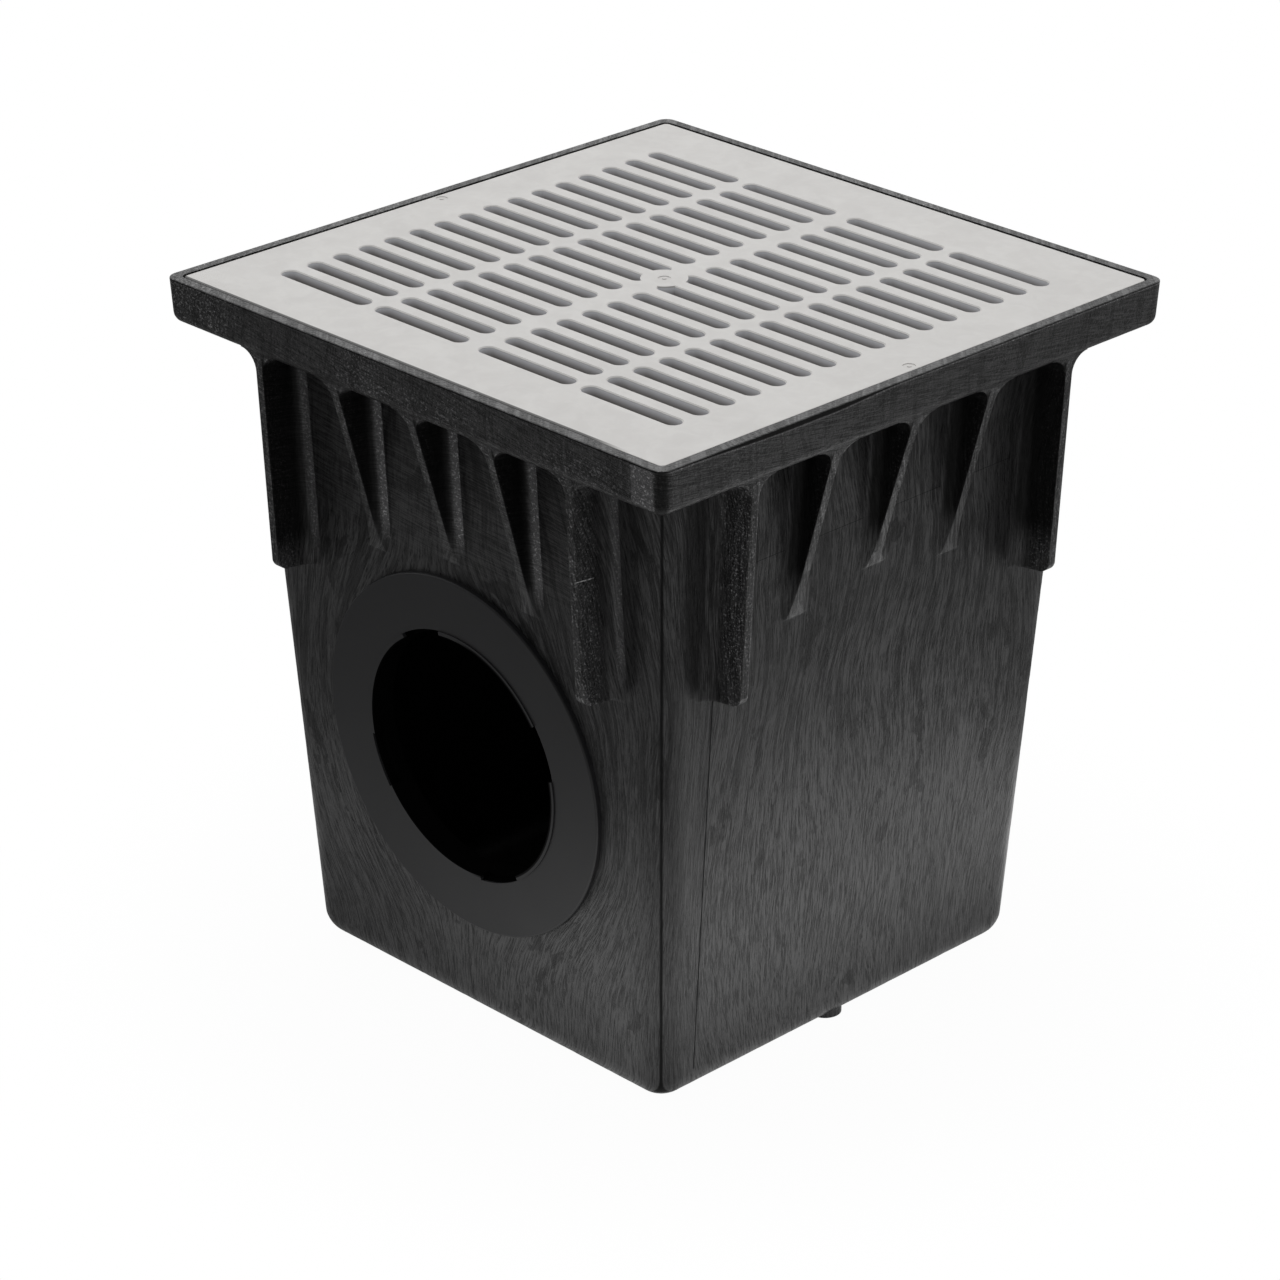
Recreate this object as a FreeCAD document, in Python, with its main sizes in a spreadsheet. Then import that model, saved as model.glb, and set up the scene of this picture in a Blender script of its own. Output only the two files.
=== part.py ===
import FreeCAD, Part
import math
import os
import Sketcher

# Square catch basin: a tapered moulded box with a seat in its rim, a slotted grate that lies
# in the seat, and an outlet ring that snaps into a round hole in the front wall.
# The front wall faces -Y. The origin is under the middle of the basin, on the ground.

doc = FreeCAD.newDocument("catch_basin")
sheet = doc.addObject("Spreadsheet::Sheet", "sizes")

SIZES = [
    # Basin: outer form
    ("basin_height", 492.7, "bottom of the box to the top of the rim"),
    ("wall_draft", 3.15, "slope of the walls, degrees"),
    ("wall_corner", 21.0, "outer radius of the upright corners"),
    ("wall_thick", 6.5, "thickness of the walls"),
    ("floor_thick", 7.0, "thickness of the floor"),
    ("floor_round", 20.0, "outer radius round the bottom"),
    ("sump_round", 13.5, "inner radius round the floor"),
    # Rim
    ("lip", 7.4, "width of the lip round the grate"),
    ("rim_overhang", 34.0, "how far the rim stands out over the wall"),
    ("rim_height", 32.0, "height of the rim"),
    ("rim_draft", 2.8, "slope of the rim's sides, degrees"),
    ("rim_corner", 9.0, "radius of the rim's upright corners"),
    ("rim_round", 8.0, "radius along the rim's lower edge"),
    ("rim_top_round", 1.0, "radius along the rim's upper edge"),
    # Gussets and corner ribs, the same on all four walls
    ("blade_inset", 4.5, "rim's lower edge to the outer edge of a gusset or rib"),
    ("gusset_tip", 1.0, "how far it stands out at its lower end"),
    ("gusset_thick", 7.0, "thickness of a gusset"),
    ("gusset_pitch", 73.3, "distance between gussets"),
    ("gusset_clearance", 12.5, "lower end of a gusset to the outlet's ring"),
    ("rib_thick", 6.5, "thickness of a corner rib"),
    ("rib_inset", 43.2, "corner of the wall to a corner rib, at its lower end"),
    ("rib_drop", 192.9, "rim top to the lower end of a corner rib"),
    ("rib_rise", 3.5, "how much the rib's lower edge rises outward"),
    ("rib_nose", 9.0, "radius of the rib's lower outer corner"),
    ("flare", 9.0, "radius where a gusset or rib meets the wall"),
    ("cove", 14.0, "radius where they meet the underside of the rim"),
    # Pads
    ("pad_diameter", 23.5, "diameter of a round pad under a side wall"),
    ("pad_inset", 16.0, "edge of the bottom to the middle of a pad"),
    # Grate
    ("grate_side", 452.0, "side of the grate"),
    ("grate_corner", 4.0, "radius of its corners"),
    ("grate_round", 1.0, "radius round its top edge"),
    ("grate_depth", 19.5, "depth of the grate"),
    ("grate_sink", 0.4, "grate top below rim top"),
    ("seat_gap", 1.2, "gap between the grate and the lip round it"),
    ("skin", 6.5, "thickness of the grate's top over its hollows"),
    ("skirt", 6.0, "thickness of the skirt round the grate"),
    ("web", 5.0, "thickness of the webs between the hollows"),
    ("slot_width", 11.8, "width of a slot"),
    ("slot_pitch", 22.8, "distance between slots"),
    ("side_border", 48.0, "least distance from the slots to the edge beside them"),
    ("end_border", 40.0, "ends of the slots to the edge past them"),
    ("middle_bar", 15.1, "bar between the inner rows"),
    ("row_bar", 9.5, "bar between an inner and an outer row"),
    ("slot_draft", 1.5, "slope of the slot's walls, degrees"),
    ("slot_bevel", 0.8, "bevel round the top of a slot"),
    ("end_hollows", 8, "hollows in a row past the ends of the slots"),
    ("side_hollows", 6, "hollows in a row beside the slots"),
    ("boss_radius", 16.0, "radius of the boss in the middle"),
    ("mark_diameter", 8.6, "diameter of a gate mark"),
    ("mark_inset", 6.6, "edge of the grate to the middle of the gate mark beside it"),
    ("mark_depth", 0.5, "depth of a gate mark"),
    ("gate_diameter", 3.0, "diameter of the stub in a gate mark"),
    # Outlet ring
    ("outlet_drop", 288.4, "rim top to the middle of the outlet"),
    ("bore_radius", 86.5, "radius of the outlet's bore"),
    ("ring_radius", 130.0, "outer radius of the ring's flange"),
    ("ring_thick", 4.2, "thickness of the flange"),
    ("ring_round", 1.5, "radius round the flange's front edge"),
    ("bead_width", 3.8, "width of the bead round the bore"),
    ("bead_height", 0.9, "height of the bead"),
    ("bead_bevel", 0.5, "bevel of the bead at the bore"),
    ("notch_depth", 4.0, "depth of a notch in the bore"),
    ("notch_angle", 25.0, "width of a notch, degrees"),
    ("notch_turn", 21.2, "turn of the notches about the bore, degrees"),
    ("notch_length", 8.0, "how far a notch runs into the bore"),
    ("collar_radius", 92.8, "outer radius of the collar in the wall"),
    ("collar_tail", 7.0, "how far the collar stands out inside the basin"),
    ("hole_gap", 0.5, "gap between the collar and the hole"),
    ("catch_reach", 3.5, "how far a catch stands out from the collar"),
    ("catch_length", 4.0, "length of a catch along the collar"),
    ("catch_flat", 1.3, "length of a catch at its full height"),
    ("catch_end", 0.9, "how far a catch stands out at its rear end"),
    ("catch_angle", 26.0, "width of a catch, degrees"),
    ("catch_gap", 0.3, "gap between a catch and the wall"),
    # Working allowance
    ("overlap", 2.0, "how far one form runs into the next where they join or are cut"),
]

for line, (name, value, note) in enumerate(SIZES, 1):
    sheet.set("A%d" % line, note)
    sheet.set("B%d" % line, str(value))
    sheet.setAlias("B%d" % line, name)
doc.recompute()

TINY = 1e-7      # taken as zero
NEAR = 0.01      # mm, taken as the same place
LEAST_CUT = 1.0  # mm3, the least that a cut takes away

# Lengths that follow from the sizes
RIM_TOP = "sizes.basin_height"
RIM_UNDER = "(%s - sizes.rim_height)" % RIM_TOP
SEAT = "(%s - sizes.grate_sink - sizes.grate_depth)" % RIM_TOP
OUTLET_Z = "(%s - sizes.outlet_drop)" % RIM_TOP
GRATE_HALF = "(sizes.grate_side / 2)"
SEAT_HALF = "(%s + sizes.seat_gap)" % GRATE_HALF
RIM_HALF = "(%s + sizes.lip)" % SEAT_HALF
RIM_LOW_HALF = "(%s - sizes.rim_height * tan(sizes.rim_draft))" % RIM_HALF
BLADE_REACH = "(sizes.rim_overhang - sizes.blade_inset)"


def outer_wall(height):
    """Distance from the middle to the outside of a wall at a height above the ground."""
    return "(%s - sizes.rim_overhang - (%s - %s) * tan(sizes.wall_draft))" % (
        RIM_LOW_HALF, RIM_UNDER, height)


def inner_wall(height):
    """The same to the inside of the wall, whose thickness is measured square to it."""
    return "(%s - sizes.wall_thick / cos(sizes.wall_draft))" % outer_wall(height)


BOTTOM_HALF = outer_wall("0")
SUMP_CORNER = "(sizes.wall_corner - sizes.wall_thick)"


def number(text):
    """The value of an expression, as a plain number."""
    value = sheet.evalExpression(text)
    return float(value.Value if hasattr(value, "Value") else value)


def body(name):
    made = doc.addObject("PartDesign::Body", name)
    made.Label = name
    return made


def plane(owner, role):
    return [item for item in owner.Origin.OriginFeatures if item.Role == role][0]


def sketch(owner, name, role="XY_Plane", lift="0", turn=None):
    """A sketch on one of the body's own planes, lifted off it and turned about an axis."""
    made = owner.newObject("Sketcher::SketchObject", name)
    made.AttachmentSupport = [(plane(owner, role), "")]
    made.MapMode = "FlatFace"
    if turn:
        axis, angle = turn
        made.AttachmentOffset = FreeCAD.Placement(
            FreeCAD.Vector(0, 0, 0), FreeCAD.Rotation(axis, number(angle)))
        made.setExpression("AttachmentOffset.Rotation.Angle", "(%s) * 1 deg" % angle)
    made.setExpression("AttachmentOffset.Base.z", lift)
    return made


def pin(item, edge, end, x, y):
    """Hold one end of an edge at x, y from the sketch's origin."""
    for kind, axis, text in (("DistanceX", -2, x), ("DistanceY", -1, y)):
        value = number(text)
        if abs(value) < TINY:
            item.addConstraint(Sketcher.Constraint("PointOnObject", edge, end, axis))
            continue
        if value > 0:
            rule = Sketcher.Constraint(kind, -1, 1, edge, end, value)
        else:
            rule = Sketcher.Constraint(kind, edge, end, -1, 1, -value)
            text = "-(%s)" % text
        index = item.addConstraint(rule)
        item.setExpression("Constraints[%d]" % index, text)


def outline(item, steps):
    """Draw a closed outline. Each step is x, y and, where an arc leads on to the next
    point, its radius, positive when the arc turns left."""
    points = [FreeCAD.Vector(number(s[0]), number(s[1]), 0) for s in steps]
    first = item.GeometryCount
    ends = []
    for i, step in enumerate(steps):
        start, stop = points[i], points[(i + 1) % len(points)]
        if len(step) == 2:
            item.addGeometry(Part.LineSegment(start, stop), False)
            ends.append((1, 2))
            continue
        radius = abs(number(step[2]))
        left = number(step[2]) > 0
        chord = stop - start
        side = FreeCAD.Vector(-chord.y, chord.x, 0) if left else FreeCAD.Vector(chord.y, -chord.x, 0)
        side.normalize()
        rise = math.sqrt(max(radius ** 2 - (chord.Length / 2) ** 2, 0))
        centre = start + chord * 0.5 + side * rise
        angles = [math.atan2(p.y - centre.y, p.x - centre.x) for p in (start, stop)]
        circle = Part.Circle(centre, FreeCAD.Vector(0, 0, 1), radius)
        if left:
            item.addGeometry(Part.ArcOfCircle(circle, angles[0], angles[1]), False)
            ends.append((1, 2))
        else:
            item.addGeometry(Part.ArcOfCircle(circle, angles[1], angles[0]), False)
            ends.append((2, 1))
        text = step[2] if left else "-(%s)" % step[2]
        index = item.addConstraint(Sketcher.Constraint("Radius", first + i, radius))
        item.setExpression("Constraints[%d]" % index, text)
    for i in range(len(steps)):
        after = (i + 1) % len(steps)
        item.addConstraint(Sketcher.Constraint(
            "Coincident", first + i, ends[i][1], first + after, ends[after][0]))
    for i, step in enumerate(steps):
        pin(item, first + i, ends[i][0], step[0], step[1])


def circle(item, x, y, radius):
    at = FreeCAD.Vector(number(x), number(y), 0)
    edge = item.addGeometry(Part.Circle(at, FreeCAD.Vector(0, 0, 1), number(radius)), False)
    index = item.addConstraint(Sketcher.Constraint("Radius", edge, number(radius)))
    item.setExpression("Constraints[%d]" % index, radius)
    pin(item, edge, 3, x, y)


def rounded_square(item, half, radius):
    inner = "(%s - %s)" % (half, radius)
    outline(item, [
        ("-" + inner, "-(%s)" % half), (inner, "-(%s)" % half, radius),
        (half, "-" + inner), (half, inner, radius),
        (inner, half), ("-" + inner, half, radius),
        ("-(%s)" % half, inner), ("-(%s)" % half, "-" + inner, radius),
    ])


def rectangle(item, x0, y0, x1, y1):
    outline(item, [(x0, y0), (x1, y0), (x1, y1), (x0, y1)])


def loft(owner, name, first, second, cut=False):
    kind = "PartDesign::SubtractiveLoft" if cut else "PartDesign::AdditiveLoft"
    made = owner.newObject(kind, name)
    made.Profile = first
    made.Sections = [second]
    made.Ruled = True
    return made


def pad(owner, name, profile, length, backward=False, taper=None):
    made = owner.newObject("PartDesign::Pad", name)
    made.Profile = profile
    made.setExpression("Length", length)
    made.Reversed = backward
    if taper:
        made.setExpression("TaperAngle", taper)
    return made


def pocket(owner, name, profile, length, backward=False, both=False, taper=None):
    """Cut a profile away. The volume has to fall, or the cut pointed the wrong way."""
    doc.recompute()
    before = owner.Tip.Shape.Volume
    made = owner.newObject("PartDesign::Pocket", name)
    made.Profile = profile
    made.setExpression("Length", length)
    made.Reversed = backward
    if both:
        made.SideType = "Symmetric"
    if taper:
        made.setExpression("TaperAngle", taper)
    doc.recompute()
    if not made.Shape.Volume < before - LEAST_CUT:
        raise RuntimeError(name + " cut nothing")
    return made


def around(owner, name, features, count):
    """Repeat features about the upright axis."""
    made = owner.newObject("PartDesign::PolarPattern", name)
    made.Originals = features
    made.Axis = (plane(owner, "Z_Axis"), [""])
    made.Angle = 360
    made.Occurrences = count
    owner.Tip = made
    return made


def round_edges(owner, name, radius, wanted):
    """Round the edges of the body that a test picks by their place."""
    doc.recompute()
    base = owner.Tip
    names = ["Edge%d" % i for i, edge in enumerate(base.Shape.Edges, 1) if wanted(edge)]
    if not names:
        raise RuntimeError(name + " found no edges")
    made = owner.newObject("PartDesign::Fillet", name)
    made.Base = (base, names)
    made.setExpression("Radius", radius)
    owner.Tip = made
    doc.recompute()
    return made


def flat_at(edge, height):
    """True for an edge that lies level at a height."""
    box = edge.BoundBox
    return abs(box.ZMin - height) < NEAR and abs(box.ZMax - height) < NEAR


def outside(edge, half):
    """True for an edge that reaches beyond a square of this half width."""
    box = edge.BoundBox
    return max(box.XMax, box.YMax, -box.XMin, -box.YMin) > half + NEAR


basin = body("basin")

# The box is lofted between two rounded squares, so its walls keep their draft.
box_low = sketch(basin, "box_low")
rounded_square(box_low, BOTTOM_HALF, "sizes.wall_corner")
INTO_RIM = "(%s + sizes.overlap)" % RIM_UNDER
box_high = sketch(basin, "box_high", lift=INTO_RIM)
rounded_square(box_high, outer_wall(INTO_RIM), "sizes.wall_corner")
loft(basin, "box", box_low, box_high)

# The rim stands out round the top, with its own draft.
rim_low = sketch(basin, "rim_low", lift=RIM_UNDER)
rounded_square(rim_low, RIM_LOW_HALF, "sizes.rim_corner")
rim_high = sketch(basin, "rim_high", lift=RIM_TOP)
rounded_square(rim_high, RIM_HALF, "sizes.rim_corner")
loft(basin, "rim", rim_low, rim_high)

# The rim's outer edges are rounded, below and on top, and so is the outside of the bottom.
under_z = number(RIM_UNDER)
top_z = number(RIM_TOP)
wall_half = number(outer_wall(RIM_UNDER))
round_edges(basin, "rim_lower_edge", "sizes.rim_round",
            lambda edge: flat_at(edge, under_z) and outside(edge, wall_half))
round_edges(basin, "rim_upper_edge", "sizes.rim_top_round", lambda edge: flat_at(edge, top_z))
round_edges(basin, "bottom_edge", "sizes.floor_round", lambda edge: flat_at(edge, 0))

# A round pad under each side wall stands in this rounding, its end flush with the bottom.
pads = sketch(basin, "pads_outline")
for side in ("", "-"):
    circle(pads, "%s(%s - sizes.pad_inset)" % (side, BOTTOM_HALF), "0", "(sizes.pad_diameter / 2)")
pad(basin, "pads", pads, "sizes.floor_round")


def blade(name, place, thick, low):
    """A gusset or rib on the +X wall: a section that flares into the wall, lofted
    straight up along the wall's slope and a little way into the rim."""
    sections = []
    for tag, height in (("low", low), ("high", INTO_RIM)):
        part = sketch(basin, "%s_%s" % (name, tag), lift=height)
        wall = outer_wall(height)
        root = "(%s - sizes.wall_thick / 2)" % wall
        tip = "(%s + %s)" % (wall, BLADE_REACH)
        y0 = "(%s - %s / 2)" % (place, thick)
        y1 = "(%s + %s / 2)" % (place, thick)
        outline(part, [
            (root, y0 + " - sizes.flare"),
            (wall, y0 + " - sizes.flare", "-sizes.flare"),
            (wall + " + sizes.flare", y0),
            (tip, y0),
            (tip, y1),
            (wall + " + sizes.flare", y1, "-sizes.flare"),
            (wall, y1 + " + sizes.flare"),
            (root, y1 + " + sizes.flare"),
        ])
        sections.append(part)
    return loft(basin, name, sections[0], sections[1])


def slope_cut(name, place, low):
    """Take the blade back to a straight slope, from its full reach under the rim to
    the little that is left at its lower end."""
    part = sketch(basin, name + "_side", role="XZ_Plane", lift="-(%s)" % place)
    under = "(%s + %s)" % (outer_wall(RIM_UNDER), BLADE_REACH)
    far = "(%s + %s)" % (under, BLADE_REACH)
    outline(part, [
        ("%s + sizes.gusset_tip" % outer_wall(low), low),
        (far, low),
        (far, RIM_UNDER),
        (under, RIM_UNDER),
    ])
    width = "(sizes.gusset_thick + 2 * (sizes.flare + sizes.cove))"
    return pocket(basin, name, part, width, both=True)


# Three gussets on the +X wall. All end at the same distance above the outlet's ring, so
# the middle one is the shortest.
CLEAR = "(sizes.ring_radius + sizes.gusset_clearance)"
GUSSET_FOOT = "(sizes.gusset_pitch - sizes.gusset_thick / 2 - sizes.flare)"
MIDDLE_LOW = "(%s + %s)" % (OUTLET_Z, CLEAR)
OUTER_LOW = "(%s + sqrt(%s ^ 2 - %s ^ 2))" % (OUTLET_Z, CLEAR, GUSSET_FOOT)
wall_features = []
GUSSETS = [
    ("gusset_right", "-sizes.gusset_pitch", OUTER_LOW),
    ("gusset_middle", "0", MIDDLE_LOW),
    ("gusset_left", "sizes.gusset_pitch", OUTER_LOW),
]
for name, place, low in GUSSETS:
    wall_features.append(blade(name, place, "sizes.gusset_thick", low))

# Two ribs near the corners.
RIB_LOW = "(%s - sizes.rib_drop)" % RIM_TOP
RIB_PLACE = "(%s - sizes.rib_inset)" % outer_wall(RIB_LOW)
wall_features.append(blade("rib_right", "-" + RIB_PLACE, "sizes.rib_thick", RIB_LOW))
wall_features.append(blade("rib_left", RIB_PLACE, "sizes.rib_thick", RIB_LOW))

# Each gusset and rib spreads sideways in a cove where it meets the underside of the rim.
coves = sketch(basin, "coves_front", role="YZ_Plane",
               lift="%s - sizes.wall_thick / 2" % outer_wall(RIM_UNDER))
BLADES = [(place, "sizes.gusset_thick") for name, place, low in GUSSETS]
BLADES += [("-" + RIB_PLACE, "sizes.rib_thick"), (RIB_PLACE, "sizes.rib_thick")]
for place, thick in BLADES:
    y0 = "(%s - %s / 2)" % (place, thick)
    y1 = "(%s + %s / 2)" % (place, thick)
    outline(coves, [
        (y1, "%s - sizes.cove" % RIM_UNDER, "-sizes.cove"),
        (y1 + " + sizes.cove", RIM_UNDER),
        (y1 + " + sizes.cove", INTO_RIM),
        (y0 + " - sizes.cove", INTO_RIM),
        (y0 + " - sizes.cove", RIM_UNDER, "-sizes.cove"),
        (y0, "%s - sizes.cove" % RIM_UNDER),
    ])
wall_features.append(pad(basin, "coves", coves, BLADE_REACH + " + sizes.wall_thick / 2"))

# The gussets are cut back to a slope.
for name, place, low in GUSSETS:
    wall_features.append(slope_cut(name + "_slope", place, low))

# The ribs follow the wall's slope. Their lower edges rise outward and turn up round a nose.
rib_edge = sketch(basin, "rib_edge_side", role="XZ_Plane")
TIP_LOW = "(%s + %s)" % (outer_wall(RIB_LOW), BLADE_REACH)
TIP_FAR = "(%s + %s)" % (TIP_LOW, BLADE_REACH)
NOSE_TOP = "(%s + sizes.rib_rise + sizes.rib_nose)" % RIB_LOW
RISE_AT_NOSE = "(sizes.rib_rise * (1 - sizes.rib_nose / %s))" % BLADE_REACH
outline(rib_edge, [
    (outer_wall(RIB_LOW), RIB_LOW),
    (outer_wall(RIB_LOW), "%s - sizes.flare" % RIB_LOW),
    (TIP_FAR, "%s - sizes.flare" % RIB_LOW),
    (TIP_FAR, RIM_UNDER),
    ("%s + %s" % (outer_wall(RIM_UNDER), BLADE_REACH), RIM_UNDER),
    ("%s + %s" % (outer_wall(NOSE_TOP), BLADE_REACH), NOSE_TOP, "-sizes.rib_nose"),
    ("%s - sizes.rib_nose" % TIP_LOW, "%s + %s" % (RIB_LOW, RISE_AT_NOSE)),
])
wall_features.append(pocket(basin, "rib_edges", rib_edge, "sizes.grate_side", both=True))

around(basin, "four_walls", wall_features, 4)

# The sump inside, lofted like the box and one wall thickness smaller.
sump_low = sketch(basin, "sump_low", lift="sizes.floor_thick")
rounded_square(sump_low, inner_wall("sizes.floor_thick"), SUMP_CORNER)
sump_high = sketch(basin, "sump_high", lift=SEAT)
rounded_square(sump_high, inner_wall(SEAT), SUMP_CORNER)
loft(basin, "sump", sump_low, sump_high, cut=True)
floor_z = number("sizes.floor_thick")
round_edges(basin, "sump_edge", "sizes.sump_round", lambda edge: flat_at(edge, floor_z))

# The seat for the grate leaves a ledge inside a narrow lip.
seat = sketch(basin, "seat_outline", lift=RIM_TOP)
rounded_square(seat, SEAT_HALF, "(sizes.grate_corner + sizes.seat_gap)")
pocket(basin, "seat", seat, "sizes.grate_sink + sizes.grate_depth")

# The round hole for the outlet, square to the sloping front wall.
WALL_AT_OUTLET = outer_wall(OUTLET_Z)
hole = sketch(basin, "hole_outline", role="XZ_Plane", lift=WALL_AT_OUTLET,
              turn=(FreeCAD.Vector(1, 0, 0), "sizes.wall_draft"))
hole.setExpression("AttachmentOffset.Base.y", OUTLET_Z)
circle(hole, "0", "0", "(sizes.collar_radius + sizes.hole_gap)")
pocket(basin, "outlet_hole", hole, "2 * sizes.collar_tail + 2 * sizes.wall_thick", both=True)

# The grate is modelled from its own underside and then laid on the ledge.
grate = body("grate")
plate = sketch(grate, "plate_outline")
rounded_square(plate, GRATE_HALF, "sizes.grate_corner")
pad(grate, "plate", plate, "sizes.grate_depth")
plate_top = number("sizes.grate_depth")
round_edges(grate, "plate_edge", "sizes.grate_round", lambda edge: flat_at(edge, plate_top))

# As many slots stand in a row as leave the border beside them, and four rows fill the
# rest of the grate's length between the borders and bars.
SLOT_COUNT = ("(floor((sizes.grate_side - 2 * sizes.side_border - sizes.slot_width)"
              " / sizes.slot_pitch) + 1)")
FIRST_SLOT = "(-(%s - 1) / 2 * sizes.slot_pitch)" % SLOT_COUNT
SLOT_LENGTH = "((%s - sizes.end_border - sizes.row_bar - sizes.middle_bar / 2) / 2)" % GRATE_HALF
INNER_ROW = "(sizes.middle_bar / 2 + %s / 2)" % SLOT_LENGTH
OUTER_ROW = "(%s + %s + sizes.row_bar)" % (INNER_ROW, SLOT_LENGTH)


# One column of four slots, one slot to a row, cut from the top and widening downward.
# A shallow bevel runs round the top of each slot.
def slot_column(name, margin):
    """The outlines of four slots, widened all round by a margin."""
    part = sketch(grate, name, lift="sizes.grate_depth")
    y = FIRST_SLOT
    radius = "(sizes.slot_width / 2 + %s)" % margin
    half = "(%s / 2 + %s)" % (SLOT_LENGTH, margin)
    straight = "(%s - %s)" % (half, radius)
    for row in ("-" + OUTER_ROW, "-" + INNER_ROW, INNER_ROW, OUTER_ROW):
        outline(part, [
            ("%s - %s" % (row, straight), "%s - %s" % (y, radius)),
            ("%s + %s" % (row, straight), "%s - %s" % (y, radius), radius),
            ("%s + %s" % (row, half), y, radius),
            ("%s + %s" % (row, straight), "%s + %s" % (y, radius)),
            ("%s - %s" % (row, straight), "%s + %s" % (y, radius), radius),
            ("%s - %s" % (row, half), y, radius),
        ])
    return part


slots = pocket(grate, "slots", slot_column("slots_outline", "0"), "sizes.grate_depth",
               taper="sizes.slot_draft")
bevels = pocket(grate, "bevels", slot_column("bevels_outline", "sizes.slot_bevel"),
                "sizes.slot_bevel", taper="-45")
columns = grate.newObject("PartDesign::LinearPattern", "columns")
columns.Originals = [slots, bevels]
columns.Direction = (plane(grate, "Y_Axis"), [""])
columns.setExpression("Length", "(%s - 1) * sizes.slot_pitch" % SLOT_COUNT)
columns.setExpression("Occurrences", SLOT_COUNT)
grate.Tip = columns

# The boss in the middle closes off the corners of the four slots beside it.
boss = sketch(grate, "boss_outline")
circle(boss, "0", "0", "sizes.boss_radius")
pad(grate, "boss", boss, "sizes.grate_depth")

# The border outside the slots is hollow underneath, with webs between the hollows.
INSIDE_SKIRT = "(%s - sizes.skirt)" % GRATE_HALF
PAST_ENDS = "(%s + %s / 2 + sizes.web)" % (OUTER_ROW, SLOT_LENGTH)
PAST_SIDES = "(sizes.slot_width / 2 + sizes.web - %s)" % FIRST_SLOT
END_REACH = INSIDE_SKIRT
SIDE_REACH = "(%s - sizes.web)" % PAST_ENDS
hollows = sketch(grate, "hollows_outline")


def hollow_row(count, reach, near, far, upright):
    """A row of equal hollows from -reach to reach, with a web between each two."""
    length = "((2 * %s - (%s - 1) * sizes.web) / %s)" % (reach, count, count)
    for i in range(int(number(count))):
        start = "(%d * (%s + sizes.web) - %s)" % (i, length, reach)
        stop = "(%s + %s)" % (start, length)
        if upright:
            rectangle(hollows, near, start, far, stop)
        else:
            rectangle(hollows, start, near, stop, far)


hollow_row("sizes.end_hollows", END_REACH, PAST_ENDS, INSIDE_SKIRT, True)
hollow_row("sizes.side_hollows", SIDE_REACH, PAST_SIDES, INSIDE_SKIRT, False)
hollow_cut = pocket(grate, "hollows", hollows, "sizes.grate_depth - sizes.skin", backward=True)
around(grate, "both_sides", [hollow_cut], 2)

# Three gate marks, one in the boss and two near opposite edges: a dimple round a low stub.
marks = sketch(grate, "marks_outline", lift="sizes.grate_depth")
MARK_PLACE = "(%s - sizes.mark_inset)" % GRATE_HALF
for x in ("-" + MARK_PLACE, "0", MARK_PLACE):
    circle(marks, x, "0", "(sizes.mark_diameter / 2)")
    circle(marks, x, "0", "(sizes.gate_diameter / 2)")
pocket(grate, "marks", marks, "sizes.mark_depth")
grate.setExpression("Placement.Base.z", SEAT)

# The outlet ring is modelled about its own axis, from the face that lies against the wall.
# Its collar runs back through the wall.
ring = body("outlet_ring")
COLLAR_END = "-(sizes.wall_thick + sizes.collar_tail)"
BEAD_EDGE = "(sizes.bore_radius + sizes.bead_width)"
BEAD_FRONT = "(sizes.ring_thick + sizes.bead_height)"
section = sketch(ring, "section", role="XZ_Plane")
outline(section, [
    ("sizes.bore_radius", COLLAR_END),
    ("sizes.collar_radius", COLLAR_END),
    ("sizes.collar_radius", "0"),
    ("sizes.ring_radius", "0"),
    ("sizes.ring_radius", "sizes.ring_thick - sizes.ring_round", "sizes.ring_round"),
    ("sizes.ring_radius - sizes.ring_round", "sizes.ring_thick"),
    (BEAD_EDGE, "sizes.ring_thick"),
    (BEAD_EDGE, BEAD_FRONT),
    ("sizes.bore_radius + sizes.bead_bevel", BEAD_FRONT),
    ("sizes.bore_radius", BEAD_FRONT + " - sizes.bead_bevel"),
])


def turned(name, kind, profile, angle=None):
    """A profile turned about the ring's axis, to both sides of the profile if the turn
    is less than a full one."""
    made = ring.newObject(kind, name)
    made.Profile = profile
    made.ReferenceAxis = (profile, ["V_Axis"])
    if angle:
        made.Midplane = True
        made.setExpression("Angle", angle)
    else:
        made.Angle = 360
    doc.recompute()
    return made


turned("flange_and_collar", "PartDesign::Revolution", section)

# Four catches hold the collar behind the wall, each with a ramp towards the basin's inside.
CATCH_Z = "-(sizes.wall_thick + sizes.catch_gap)"
catch_side = sketch(ring, "catch_side", role="XZ_Plane")
outline(catch_side, [
    ("sizes.collar_radius - sizes.overlap", CATCH_Z),
    ("sizes.collar_radius - sizes.overlap", "%s - sizes.catch_length" % CATCH_Z),
    ("sizes.collar_radius + sizes.catch_end", "%s - sizes.catch_length" % CATCH_Z),
    ("sizes.collar_radius + sizes.catch_reach", "%s - sizes.catch_flat" % CATCH_Z),
    ("sizes.collar_radius + sizes.catch_reach", CATCH_Z),
])
catch = turned("catch", "PartDesign::Revolution", catch_side, "sizes.catch_angle")
around(ring, "catches", [catch], 4)

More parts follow.
